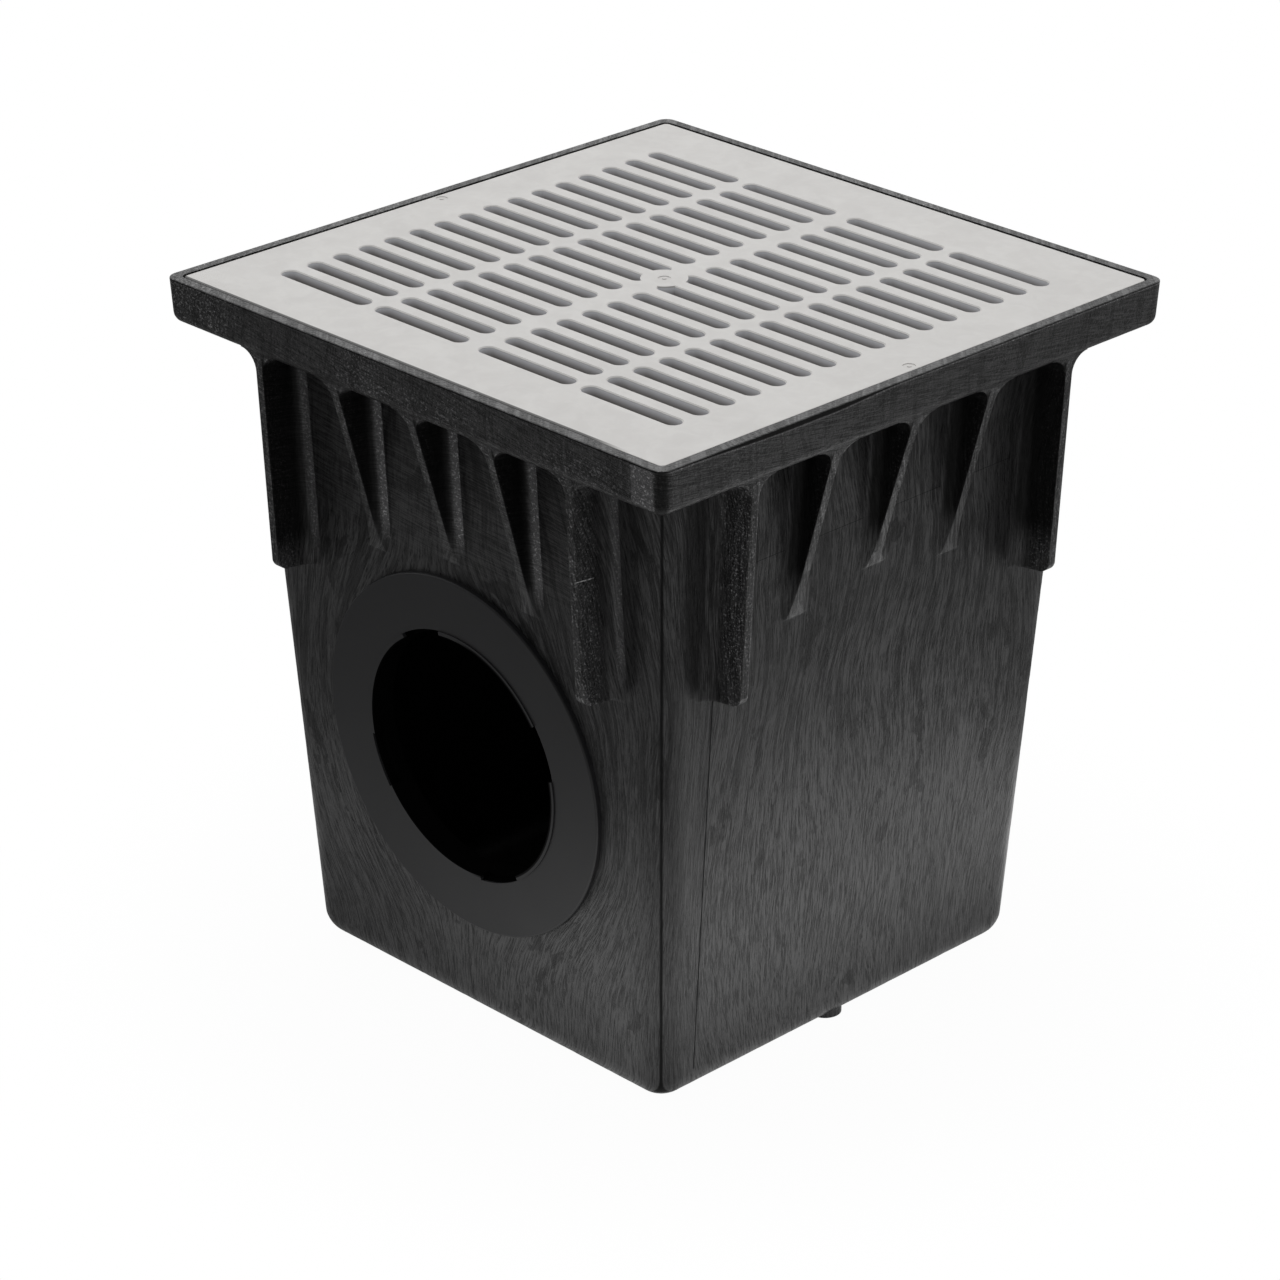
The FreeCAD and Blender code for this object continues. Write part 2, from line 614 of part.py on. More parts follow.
# Four notches in the bore, open at the front and closed towards the basin.
notch_side = sketch(ring, "notch_side", role="XZ_Plane",
                    turn=(FreeCAD.Vector(0, 1, 0), "sizes.notch_turn"))
rectangle(notch_side, "sizes.bore_radius - sizes.overlap", "sizes.ring_thick - sizes.notch_length",
          "sizes.bore_radius + sizes.notch_depth", BEAD_FRONT + " + sizes.overlap")
doc.recompute()
whole = ring.Tip.Shape.Volume
notch = turned("notch", "PartDesign::Groove", notch_side, "sizes.notch_angle")
around(ring, "notches", [notch], 4)
doc.recompute()
if not ring.Shape.Volume < whole - LEAST_CUT:
    raise RuntimeError("the notches cut nothing")

# The ring's axis stands square to the sloping wall.
ring.Placement = FreeCAD.Placement(
    FreeCAD.Vector(0, -number(WALL_AT_OUTLET), number(OUTLET_Z)),
    FreeCAD.Rotation(FreeCAD.Vector(1, 0, 0), 90 + number("sizes.wall_draft")))
ring.setExpression("Placement.Base.y", "-(%s)" % WALL_AT_OUTLET)
ring.setExpression("Placement.Base.z", OUTLET_Z)
ring.setExpression("Placement.Rotation.Angle", "(90 + sizes.wall_draft) * 1 deg")

doc.recompute()
for item in doc.Objects:
    if "Invalid" in item.State or "Error" in item.State:
        raise RuntimeError("%s failed" % item.Name)

os.makedirs("parts", exist_ok=True)
for node in (basin, grate, ring):
    shape = node.Shape
    if shape.isNull() or not shape.isValid() or len(shape.Solids) != 1:
        raise RuntimeError("%s is not one sound solid" % node.Label)
    shape.exportStep("parts/%s.step" % node.Label)
    box = shape.BoundBox
    print("%-12s %9.0f mm3, %.1f x %.1f x %.1f mm" % (
        node.Label, shape.Volume, box.XLength, box.YLength, box.ZLength))
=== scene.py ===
# %% [markdown]
# # A plastic catch basin with its grate and outlet ring
# The solids of the basin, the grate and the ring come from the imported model, at their real
# size and place. This lesson gives them their finishes, adds the fine lines that the mould
# leaves on the walls, and sets up the studio: floor, room, light and camera.

# %% Load the frame
import bpy
import math
from functools import reduce
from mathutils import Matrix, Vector


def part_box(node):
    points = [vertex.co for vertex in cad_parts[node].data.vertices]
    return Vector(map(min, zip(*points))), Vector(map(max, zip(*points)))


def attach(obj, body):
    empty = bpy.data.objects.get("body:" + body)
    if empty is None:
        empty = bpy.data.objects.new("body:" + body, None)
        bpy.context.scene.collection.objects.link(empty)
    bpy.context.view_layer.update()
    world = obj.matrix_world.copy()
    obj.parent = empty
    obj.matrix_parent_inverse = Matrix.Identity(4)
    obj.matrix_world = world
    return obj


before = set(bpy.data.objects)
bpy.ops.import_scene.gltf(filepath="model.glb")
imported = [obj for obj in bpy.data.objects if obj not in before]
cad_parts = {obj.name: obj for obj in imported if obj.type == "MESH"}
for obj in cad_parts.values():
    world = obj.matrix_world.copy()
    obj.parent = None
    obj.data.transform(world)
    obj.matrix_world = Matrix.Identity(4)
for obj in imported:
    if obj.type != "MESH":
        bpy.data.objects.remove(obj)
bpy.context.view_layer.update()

PIECES = ("basin", "grate", "outlet_ring")
RIM_HEIGHT = 0.032

basin, grate, ring = (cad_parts[name] for name in PIECES)
for name in PIECES:
    low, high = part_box(name)
    print("%-12s %s to %s" % (name, [round(v, 3) for v in low], [round(v, 3) for v in high]))

RIM_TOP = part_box("basin")[1].z
RIM_UNDER = RIM_TOP - RIM_HEIGHT
OUTLET_Z = (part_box("outlet_ring")[0].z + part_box("outlet_ring")[1].z) / 2
print("rim top %.4f m, outlet %.4f m above the ground" % (RIM_TOP, OUTLET_Z))

# %% [markdown]
# ## Sums between sockets
# A shader tree does its maths with Math nodes. Adding them by hand hides the formula, so a
# small class wraps one socket and turns Python's operators into Math nodes. Every other node
# comes from its `node` method, which sets the node's own settings first and its sockets next.


# %% A socket that can be used in sums
class Wire:
    """One output socket of a node tree."""

    def __init__(self, tree, socket=None):
        self.tree = tree
        self.socket = socket

    def node(self, kind, settings=None, inputs=None, out=0):
        made = self.tree.nodes.new(kind)
        for name, value in (settings or {}).items():
            setattr(made, name, value)
        for key, value in (inputs or {}).items():
            if isinstance(value, Wire):
                self.tree.links.new(value.socket, made.inputs[key])
            else:
                made.inputs[key].default_value = value
        return Wire(self.tree, made.outputs[out])

    def sum(self, operation, first, second=0.0):
        return self.node("ShaderNodeMath", {"operation": operation}, {0: first, 1: second})

    def __add__(self, other):
        return self.sum("ADD", self, other)

    def __sub__(self, other):
        return self.sum("SUBTRACT", self, other)

    def __mul__(self, other):
        return self.sum("MULTIPLY", self, other)

    def __truediv__(self, other):
        return self.sum("DIVIDE", self, other)

    def __rsub__(self, other):
        return self.sum("SUBTRACT", other, self)

    __radd__ = __add__
    __rmul__ = __mul__

    def either(self, other):
        """The larger of the two."""
        return self.sum("MAXIMUM", self, other)

    def size(self):
        return self.sum("ABSOLUTE", self)

    def root(self):
        return self.sum("SQRT", self)

    def step(self, low, high):
        """0 below low, 1 above high and a soft rise between them."""
        return self.node("ShaderNodeMapRange", {"interpolation_type": "SMOOTHSTEP"},
                         {0: self, 1: low, 2: high, 3: 0.0, 4: 1.0})

    def within(self, rise, fall):
        """1 between a soft rise and a soft fall, each given by its two ends, and 0 outside."""
        return self.step(*rise) * (1 - self.step(*fall))

    def close_to(self, place, width):
        """1 at a place and 0 beyond a width on either side."""
        return 1 - (self - place).size().step(width * 0.3, width)


# %% Helpers for the finishes
def axes_of(start, vector):
    """The x, y and z of a vector."""
    return [start.node("ShaderNodeSeparateXYZ", None, {0: vector}, axis) for axis in range(3)]


def place_on(start):
    """The object's own coordinates as a vector."""
    return start.node("ShaderNodeTexCoord", out="Object")


def xyz(start, x, y, z):
    return start.node("ShaderNodeCombineXYZ", None, {0: x, 1: y, 2: z})


def noise(start, place, scale=1.0, detail=2.0, rough=0.5, bend=0.0):
    return start.node("ShaderNodeTexNoise", None, {
        "Vector": place, "Scale": scale, "Detail": detail, "Roughness": rough,
        "Distortion": bend})


def bump(start, height, strength, distance, **more):
    """A normal that follows a height."""
    return start.node("ShaderNodeBump", None, {
        "Strength": strength, "Distance": distance, "Height": height, **more})


def blend(start, share, first, second):
    """A colour between two others."""
    return start.node("ShaderNodeMix", {"data_type": "RGBA"}, {0: share, 6: first, 7: second}, 2)


def between(start, share, first, second):
    """A number between two others."""
    return start.node("ShaderNodeMix", {"data_type": "FLOAT"}, {0: share, 2: first, 3: second})


def mixed(start, share, first, second):
    """A shader between two others."""
    return start.node("ShaderNodeMixShader", None, {0: share, 1: first, 2: second})


def new_material(name):
    """A material with its Principled shader, and a place to start sums from."""
    made = bpy.data.materials.new(name)
    made.use_nodes = True
    tree = made.node_tree
    return made, tree.nodes["Principled BSDF"], Wire(tree)


def plug(wire, shader, name):
    wire.tree.links.new(wire.socket, shader.inputs[name])


def show(shown):
    """Makes a shader the one that its material shows."""
    plug(shown, shown.tree.nodes["Material Output"], "Surface")


# %% [markdown]
# ## How the melt flowed
# The basin is moulded from foamed plastic. Gas in the melt tears at the skin as it flows, and
# leaves fine hair-like streaks along the flow. A painted picture could show them, but it would
# need an unwrapped mesh and would blur close by. So a streak is noise, squeezed hard across
# the flow and stretched along it. On the walls the flow runs up and down, parts round the
# outlet as water parts round a post, and is bent by slow noise. The sum of x and y tells how
# far across a wall a point lies, whichever wall it is on, so the streaks have no seam at the
# near corner. The price is paid at the two corners on the left and right, where the sum turns
# round: there the streaks fold into a narrow strip of arches. The sum is scaled by the taper,
# so that a streak runs straight up a wall that leans.

# %% Threads of the flow
WALL_SLOPE = math.tan(math.radians(3.15))
WALL_AT_GROUND = 0.17368
WALL_Y = 0.19
POST = 0.115
POST_BLUR = 0.003
SLOW_BEND = 0.08
CURL_BEND = 0.005
THREAD_WIDTH = 0.0008
THREAD_LENGTH = 0.015


def threads(start, across, z, width, length, layer):
    """Upright threads, one thread width apart. Each layer of the noise has its own."""
    return noise(start, xyz(start, across / width, z / length, layer), 1.0, 2.0, 0.6)


def flow_of(start, place, x, y, z):
    """How far across the walls a point lies, moved aside so that a thread keeps to one value."""
    up = z - OUTLET_Z
    front = 1 - y.step(-WALL_Y, -WALL_Y + 0.05)
    post = x * (POST ** 2) / (x * x + up * up + POST_BLUR) * front
    slow = noise(start, place, 4.5, 1.0) - 0.5
    curl = noise(start, place, 20.0, 1.0) - 0.5
    wall = z * WALL_SLOPE + WALL_AT_GROUND
    return (x + y) * WALL_Y / wall - post + slow * SLOW_BEND + curl * CURL_BEND


print("streaks %.1f mm wide and %.0f mm long" % (THREAD_WIDTH * 1000, THREAD_LENGTH * 1000))

# %% [markdown]
# ## Streaks and whole skin
# Three fields of upright threads cross at small angles, as the torn skin does, and the largest
# of them counts at each point. On the rim, and high on the front wall, the flow turned and the
# threads lie level. Where the skin stayed whole it keeps crisp edges and is darker, so a
# coarser noise with a sharp step takes most of the streaks away there.

# %% Streaks, and where the skin stayed whole
UPRIGHT, LEANING, FALLING, LYING, PATCHES, COMB = (0.5 + 7 * layer for layer in range(6))
LEAN = 0.22
FALL = 0.16
SAG = 0.15
FRONT_END_X = (0.12, 0.14)
LEVEL_FROM_Z = (0.33, 0.37)
PATCH_SIZE = (0.024, 0.05)
COMB_SIZE = (0.005, 0.09)
COMB_FROM_Z = (0.16, 0.24)


def streaks(start, across, x, y, z, region, rim):
    """Upright threads on the walls, level ones on the rim and high on the front wall."""
    upright = threads(start, across, z, THREAD_WIDTH, THREAD_LENGTH, UPRIGHT)
    leaning = threads(start, across + z * LEAN, z,
                      THREAD_WIDTH * 0.9, THREAD_LENGTH * 0.8, LEANING)
    falling = threads(start, across - z * FALL, z,
                      THREAD_WIDTH * 0.8, THREAD_LENGTH * 0.7, FALLING)
    lying = threads(start, z + across * SAG, across, THREAD_WIDTH, THREAD_LENGTH, LYING)
    walls = (upright.step(0.36, 0.62) * 0.95).either(
        leaning.step(0.44, 0.66) * region * 0.9).either(
        falling.step(0.46, 0.68) * (1 - region * 0.8) * 0.9)
    front = (1 - y.step(-WALL_Y, -WALL_Y + 0.03)) * (1 - x.step(*FRONT_END_X))
    level = (rim * 0.7).either(front * z.step(*LEVEL_FROM_Z) * 0.6)
    return between(start, level, walls, lying.step(0.42, 0.62))


def tearing(start, place, across, z):
    """How far the skin tore: least in the patches and between the teeth of a coarse comb."""
    patch_field = xyz(start, across / PATCH_SIZE[0], z / PATCH_SIZE[1], PATCHES)
    patch = noise(start, patch_field, 1.0, 4.0, 0.65).step(0.355, 0.375)
    comb = threads(start, across, z, *COMB_SIZE, COMB).step(0.40, 0.47)
    comb = comb.either(1 - z.step(*COMB_FROM_Z))
    cloud = noise(start, place, 9.0, 3.0, 0.55).step(0.3, 0.7)
    return (0.4 + patch * 0.6) * (0.45 + comb * 0.55) * (0.85 + cloud * 0.15)


print("patches about %.0f by %.0f mm" % tuple(1000 * side for side in PATCH_SIZE))

# %% [markdown]
# ## Painted shade and highlights on the blades and the rim
# The flank of a gusset or rib lies black in the shade of the wall beside it, and on the front
# wall the mirrored floor shows as a bright strip beside it. The rim's sides carry a dark line
# of shade at their upper edge, and the right one a light line below it. All of these hang on
# small bows and sinks of the skin, which the straight solids don't have. Bending the mesh could
# make them, but its large flat faces have no points there to bend, so masks that follow the
# position paint them instead: painted shade from a black shader, painted highlights in a pale
# colour.

# %% Where a blade meets the wall
# Each blade: its place along the wall, half its thickness, its lower end, how much painted
# shade its flank gets, and how bright the painted strip beside it.
BLADES = [(-0.1470, 0.00325, 0.300, 0.85, 0.5),
          (-0.0733, 0.00350, 0.332, 0.85, 1.0),
          (0.0000, 0.00350, 0.345, 0.85, 1.0),
          (0.0733, 0.00350, 0.332, 0.85, 1.0),
          (0.1470, 0.00325, 0.300, 0.30, 0.5)]
# How much painted shade the right wall's flanks get.
RIGHT_FLANK_SHADE = 0.85
CORNER_BLEND = 0.006
FLANK_RISE = (-0.0007, 0.0001)
FLANK_FALL_FRONT = (0.0012, 0.0040)
FLANK_FALL_RIGHT = (0.0035, 0.0080)
STRIP_RISE = (0.0016, 0.0060)
STRIP_FALL = (0.0086, 0.0094)


def blade_marks(x, y, z):
    """Painted shade on each blade's flank, and a painted reflection in the strip beside it on the
    front wall.
    """
    under_rim = 1 - z.step(RIM_UNDER - CORNER_BLEND, RIM_UNDER)
    facing_front = (1 - y.step(-WALL_Y, -WALL_Y + CORNER_BLEND)) * under_rim
    facing_right = x.step(WALL_Y - CORNER_BLEND, WALL_Y) * under_rim
    flanks, strips = [], []
    for place, half, low, painted_shade, bright in BLADES:
        out = x - place - half
        above = z.step(low + 0.004, low + 0.030)
        # Painted shade on the flank, and a painted reflection of the floor in the strip beyond
        # it.
        flanks.append(out.within(FLANK_RISE, FLANK_FALL_FRONT) * above * facing_front * painted_shade)
        strips.append(out.within(STRIP_RISE, STRIP_FALL) * above * facing_front * bright)
    for place, half, low, _, _ in BLADES[1:]:
        out = place - half - y
        above = z.step(low + 0.015, low + 0.040)
        # Painted shade on the flanks of the right wall's blades.
        flanks.append(out.within(FLANK_RISE, FLANK_FALL_RIGHT) * above * facing_right
                      * RIGHT_FLANK_SHADE)
    return reduce(Wire.either, flanks), reduce(Wire.either, strips)


print(len(BLADES), "blades on each wall")

# %% The rim's lines and the near rib of the right wall
RIM_SIDE = 0.2345
EDGE_WIDTH_FRONT = 0.0014
EDGE_WIDTH_RIGHT = 0.0010
EDGE_WIDER_RIGHT = 0.0026
EDGE_WIDER_Y = ((-0.225, -0.12), (-0.09, -0.02))
LIGHT_WIDTH = 0.0006
CORNER_WIDTH = 0.0085
BRIGHT_X = ((0.2070, 0.2085), (0.2255, 0.2280))
RIB_SIDE_Y = -0.1545
RIB_SIDE_WIDTH = 0.0065
RIB_EDGE_Y = -0.1441
RIB_EDGE_WIDTH = 0.0009


def rim_marks(x, y, z):
    """Painted shade on the upper edge and near corner, and painted highlights: a light line and
    the front's bright end.
    """
    drop = RIM_TOP - z
    on_right = x.step(RIM_SIDE - 0.0025, RIM_SIDE - 0.0015)
    on_front = 1 - y.step(0.0015 - RIM_SIDE, 0.0025 - RIM_SIDE)
    under_top = drop.step(0.0003, 0.0008)
    wide = EDGE_WIDTH_RIGHT + y.within(*EDGE_WIDER_Y) * EDGE_WIDER_RIGHT
    # Painted shade: a dark band under the top edge of the right side and the front, and on the
    # near corner.
    dark_right = (wide - drop).step(0.0, 0.0004) * on_right
    dark_front = (EDGE_WIDTH_FRONT - drop).step(0.0, 0.0003) * on_front
    corner = (x + y).close_to(0.0, CORNER_WIDTH) * x.step(RIM_SIDE - 0.010, RIM_SIDE - 0.008)
    dark = (dark_right.either(dark_front) * under_top).either(corner * 0.8 * under_top)
    # A painted highlight: a light line under the dark band on the right side.
    light = drop.close_to(wide + LIGHT_WIDTH, LIGHT_WIDTH) * on_right
    # A painted highlight on the front near the corner.
    bright = x.within(*BRIGHT_X) * on_front * drop.step(0.001, 0.002)
    return dark, light, bright


def rib_marks(x, y, rim):
    """Painted glints on the side and a painted highlight on the edge of the right wall's near
    rib.
    """
    side = y.close_to(RIB_SIDE_Y, RIB_SIDE_WIDTH) * x.step(0.200, 0.206) * (1 - rim)
    edge = y.close_to(RIB_EDGE_Y, RIB_EDGE_WIDTH) * x.step(0.215, 0.219) * (1 - rim)
    return side, edge


print("dark edge %.1f mm wide on the front of the rim" % (EDGE_WIDTH_FRONT * 1000))

# %% [markdown]
# ## Black structural foam
# The plastic itself is nearly black: what the eye sees on it is the pale floor, mirrored
# softly. A torn streak mirrors more of it than the plain skin beside it. So the streaks go to
# the clear coat's weight and to the bumps, and hardly to the colour. The small specks that
# glitter on the rim, the gussets and the ribs are painted glints in the colour, and the strips
# and light lines are painted highlights. The basin's own edges are rounded in the real mould by
# a few millimetres more than the solids are, which a Bevel node gives the light. The flanks,
# the dark lines and the inside of the basin are painted shade, from a second, black shader.

# %% Streaked foam
FOAM_DARK = (0.003, 0.003, 0.0032, 1)
# The pale end serves the streaks' own tone and the painted glints and highlights.
FOAM_PALE_AND_HIGHLIGHT = (0.30, 0.297, 0.303, 1)
# Black for painted shade.
SHADE_BLACK = (0.002, 0.002, 0.002, 1)
INSIDE_REACH = (-0.0060, -0.0050)
INSIDE_FROM_Z = (0.0066, 0.0069)
PROUD_REACH = (0.006, 0.020)
EDGE_ROUND = 0.003
NEAR_TOP_Z = (RIM_TOP - 0.014, RIM_TOP - 0.008)


def foam_material():
    made, shader, start = new_material("foam")
    place = place_on(start)
    x, y, z = axes_of(start, place)
    across = flow_of(start, place, x, y, z)

    region = noise(start, place, 7.0, 2.0, 0.5).step(0.42, 0.58)
    rim = z.step(RIM_UNDER - 0.003, RIM_UNDER)
    reach = x.size().either(y.size()) - WALL_AT_GROUND - z * WALL_SLOPE
    proud = reach.step(*PROUD_REACH)
    inside = (1 - reach.step(*INSIDE_REACH)) * z.step(*INSIDE_FROM_Z)
    streak = streaks(start, across, x, y, z, region, rim)
    tear = tearing(start, place, across, z)
    flank, strip = blade_marks(x, y, z)
    dark, light, bright = rim_marks(x, y, z)
    rib_side_glints, rib_edge_highlight = rib_marks(x, y, rim)

    speck = noise(start, place, 420.0, 2.0, 0.6)
    crisp = noise(start, place, 640.0, 2.0, 0.75).step(0.53, 0.68)
    rim_busy = rim * (0.3 + region * 0.7) * (1 - x.step(0.228, 0.230) * 0.35)
    busy = (proud * (1 - rim) * 0.8).either(rim_busy).either(rib_side_glints)
    # Painted glints: pale specks in the colour and the coat, where light catches the rim, the
    # gussets and the ribs.
    glint = crisp * (0.04 + busy * 0.96)
    # Painted highlights: the reflection in the strips, the rim's light line and bright end, and
    # the near rib's edge.
    painted_highlight = (strip * 0.9).either(light * 0.7).either(bright * 0.6).either(rib_edge_highlight * 0.7)
    # The torn streaks, with the painted highlights laid over them.
    torn = (streak * tear * (1 - rim * 0.35)).either(painted_highlight * (0.3 + crisp * 0.7))

    # The colour: the streaks' own tone, the painted glints and the painted highlights.
    shade = torn * 0.09 + glint * (0.35 + torn * 0.65) + painted_highlight * (0.25 + crisp * 0.75)
    plug(blend(start, shade, FOAM_DARK, FOAM_PALE_AND_HIGHLIGHT), shader, "Base Color")
    plug((torn * (0.75 + speck * 0.5)).either(glint * 0.9), shader, "Coat Weight")
    plug(0.38 - tear * 0.06, shader, "Roughness")
    shader.inputs["Coat Roughness"].default_value = 0.28
    shader.inputs["Specular IOR Level"].default_value = 0.38

    rounded = start.node("ShaderNodeBevel", {"samples": 6}, {
        "Radius": EDGE_ROUND * (1 - z.step(*NEAR_TOP_Z) * 0.9)})
    relief = streak * 0.6 + speck * (0.4 + proud * 1.4)
    plug(bump(start, relief, 0.8, 0.0005, Normal=rounded), shader, "Normal")

    # A black shader that stands for painted shade.
    painted_shade = start.node("ShaderNodeBsdfPrincipled", None, {
        "Base Color": SHADE_BLACK, "Roughness": 0.5, "Specular IOR Level": 0.1})
    # Where the painted shade shows: the flanks, the rim's dark lines and the inside of the basin.
    painted_shade_share = flank.either(dark * 0.9).either(inside * 0.9)
    show(mixed(start, painted_shade_share, Wire(start.tree, shader.outputs[0]), painted_shade))
    return made


foam = foam_material()
print(foam.name, "has", len(foam.node_tree.nodes), "nodes")

# %% [markdown]
# ## Grey grate plastic
# The grate is the same kind of plastic in light grey. Its flow lines are so faint that they
# only cloud the colour. The walls of the slots carry painted light and shade: pale under the
# top and dark with depth. A painted shadow marks the gap round the grate: its outer side is
# black, and so is a band along its front border. Light that bounces between walls a centimetre
# apart is slow to render and stays noisy, so the depth below the top sets the colour of the
# slots.

# %% Clouded grey
GRATE_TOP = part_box("grate")[1].z
GRATE_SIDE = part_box("grate")[1].x
GRATE_DARK = (0.57, 0.558, 0.543, 1)
GRATE_PALE = (0.63, 0.62, 0.603, 1)
# Painted light and shade in the slots: pale just under the top, dark deep down.
SLOT_LIT = (0.90, 0.91, 0.95, 1)
SLOT_SHADED = (0.27, 0.25, 0.235, 1)
SLOT_FADE = (0.0005, 0.0085)
SLOT_FROM = (0.0006, 0.0016)
# Black for the painted shadow of the gap round the grate.
GAP_SHADOW = (0.01, 0.01, 0.01, 1)


def grate_material():
    made, shader, start = new_material("grate_grey")
    place = place_on(start)
    x, y, z = axes_of(start, place)
    swirl = noise(start, place, 16.0, 4.0, 0.6, 1.2).step(0.3, 0.7)
    fine = noise(start, place, 70.0, 3.0, 0.6, 0.8).step(0.35, 0.7)
    top = blend(start, swirl * 0.6 + fine * 0.4, GRATE_DARK, GRATE_PALE)
    # Painted light and shade on the slot walls, set by the depth below the top.
    depth = GRATE_TOP - z
    walls = blend(start, depth.step(*SLOT_FADE), SLOT_LIT, SLOT_SHADED)
    skin = blend(start, depth.step(*SLOT_FROM), top, walls)
    # Painted shadow of the gap round the grate: the outer side black, and a band along the front
    # border that ends towards the right.
    side = x.size().either(y.size()).step(GRATE_SIDE - 0.0004, GRATE_SIDE - 0.0002)
    front = (0 - y).step(GRATE_SIDE - 0.0030, GRATE_SIDE - 0.0022) * (1 - x.step(0.16, 0.20))
    plug(blend(start, side.either(front * 0.9), skin, GAP_SHADOW), shader, "Base Color")
    plug(0.5 - fine * 0.08, shader, "Roughness")
    plug(bump(start, noise(start, place, 1400.0, 2.0, 0.5), 0.15, 0.0003), shader, "Normal")
    return made


grate_grey = grate_material()
print(grate_grey.name, "has", len(grate_grey.node_tree.nodes), "nodes")

# %% [markdown]
# ## Smooth black ring
# The ring is moulded solid, so its skin is even. Only a slow variation in the gloss is left.
# The bore, the right half of the bevel at its mouth and the notches are painted shade in an
# even black. They could be left to the light, but the gloss would mirror the pale floor there,
# so a plain Diffuse shader takes its place.

# %% Smooth black
BORE_RADIUS = 0.0865
FLANGE_FRONT_Y = 0.1891
RING_DARK = (0.0150, 0.0150, 0.0162, 1)
RING_PALE = (0.0170, 0.0170, 0.0182, 1)
BORE_EDGE = (0.0006, 0.0010)
BEVEL_EDGE = (0.0016, 0.0022)
NOTCH_EDGE = (0.0045, 0.0048)
NOTCH_FRONT = (0.0012, 0.0020)


def ring_material():
    made, shader, start = new_material("ring_black")
    place = place_on(start)
    x, y, z = axes_of(start, place)
    cloud = noise(start, place, 14.0, 3.0, 0.5).step(0.3, 0.7)
    plug(blend(start, cloud, RING_DARK, RING_PALE), shader, "Base Color")
    plug(0.38 + cloud * 0.05, shader, "Roughness")
    plug(bump(start, noise(start, place, 1800.0, 2.0, 0.5), 0.10, 0.0002), shader, "Normal")
    up = z - OUTLET_Z
    past_bore = (x * x + up * up).root() - BORE_RADIUS
    bevel = (1 - past_bore.step(*BEVEL_EDGE)) * x.step(0.0, 0.02) * 0.85
    behind = (y + FLANGE_FRONT_Y + up * WALL_SLOPE).step(*NOTCH_FRONT)
    notch = behind * (1 - past_bore.step(*NOTCH_EDGE))
    # Painted shade: the bore, the right half of the bevel at its mouth and the notches, in an
    # even black.
    black = (1 - past_bore.step(*BORE_EDGE)).either(bevel).either(notch)
    shadow = start.node("ShaderNodeBsdfDiffuse", None, {"Color": SHADE_BLACK})
    show(mixed(start, black, Wire(start.tree, shader.outputs[0]), shadow))
    return made


ring_black = ring_material()
print(ring_black.name, "has", len(ring_black.node_tree.nodes), "nodes")

# %% Dress the solids
for solid, finish in ((basin, foam), (grate, grate_grey), (ring, ring_black)):
    solid.data.materials.clear()
    solid.data.materials.append(finish)
    print(solid.name, "wears", finish.name)

# %% [markdown]
# ## Lines that the mould leaves
# Where two parts of the mould met, the plastic crept between them and left a fine ridge. One
# runs up the right wall to its near corner rib, and a fainter one lies level across the same
# wall between the gussets. A bump in the material could only fake them, and an exported mesh
# would lose them. Each follows a path, so Geometry Nodes sweep a small circle along it. The
# path lies a little inside the wall, and only the top of the ridge shows.

# %% Sweep a ridge along a path
CIRCLE_POINTS = 10


def ridge_tree():
    """A tree that turns a path of edges into a closed round ridge."""
    tree = bpy.data.node_groups.new("mould_ridge", "GeometryNodeTree")
    sockets = {}
    for name, kind in (("Path", "Geometry"), ("Radius", "Float"), ("Finish", "Material")):
        sockets[name] = tree.interface.new_socket(
            name, in_out="INPUT", socket_type="NodeSocket" + kind).identifier
    tree.interface.new_socket("Ridge", in_out="OUTPUT", socket_type="NodeSocketGeometry")
    start = Wire(tree)
    given = tree.nodes.new("NodeGroupInput")
    path, radius, finish = (Wire(tree, socket) for socket in list(given.outputs)[:3])
    curve = start.node("GeometryNodeMeshToCurve", None, {"Mesh": path})
    circle = start.node("GeometryNodeCurvePrimitiveCircle", None, {
        "Resolution": CIRCLE_POINTS, "Radius": radius})
    swept = start.node("GeometryNodeCurveToMesh", None, {
        "Curve": curve, "Profile Curve": circle, "Fill Caps": True})
    real = start.node("GeometryNodeRealizeInstances", None, {0: swept})
    dressed = start.node("GeometryNodeSetMaterial", None, {"Geometry": real, "Material": finish})
    tree.links.new(dressed.socket, tree.nodes.new("NodeGroupOutput").inputs[0])
    return tree, sockets


RIDGE_TREE, RIDGE_SOCKETS = ridge_tree()


def ridge(name, points, radius, finish):
    """A ridge along some points, as a plain mesh that rides on the object's one body."""
    path = bpy.data.meshes.new(name + "_path")
    path.from_pydata(points, [(i, i + 1) for i in range(len(points) - 1)], [])
    guide = bpy.data.objects.new(name + "_guide", path)
    bpy.context.scene.collection.objects.link(guide)
    sweep = guide.modifiers.new("sweep", "NODES")
    sweep.node_group = RIDGE_TREE
    sweep[RIDGE_SOCKETS["Radius"]] = radius
    sweep[RIDGE_SOCKETS["Finish"]] = finish
    solved = guide.evaluated_get(bpy.context.evaluated_depsgraph_get())
    piece = bpy.data.objects.new(name, bpy.data.meshes.new_from_object(solved))
    bpy.context.scene.collection.objects.link(piece)
    bpy.data.objects.remove(guide)
    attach(piece, "root")
    print(name, len(piece.data.polygons), "faces")


# %% A plastic with fine wear
def worn_material(name, scale, detail, edges, colours, rough, rough_rise):
    """A plastic whose colour and roughness follow one noise."""
    made, shader, start = new_material(name)
    wear = noise(start, place_on(start), scale, detail, 0.6).step(*edges)
    plug(blend(start, wear, *colours), shader, "Base Color")
    plug(rough + wear * rough_rise, shader, "Roughness")
    return made, shader


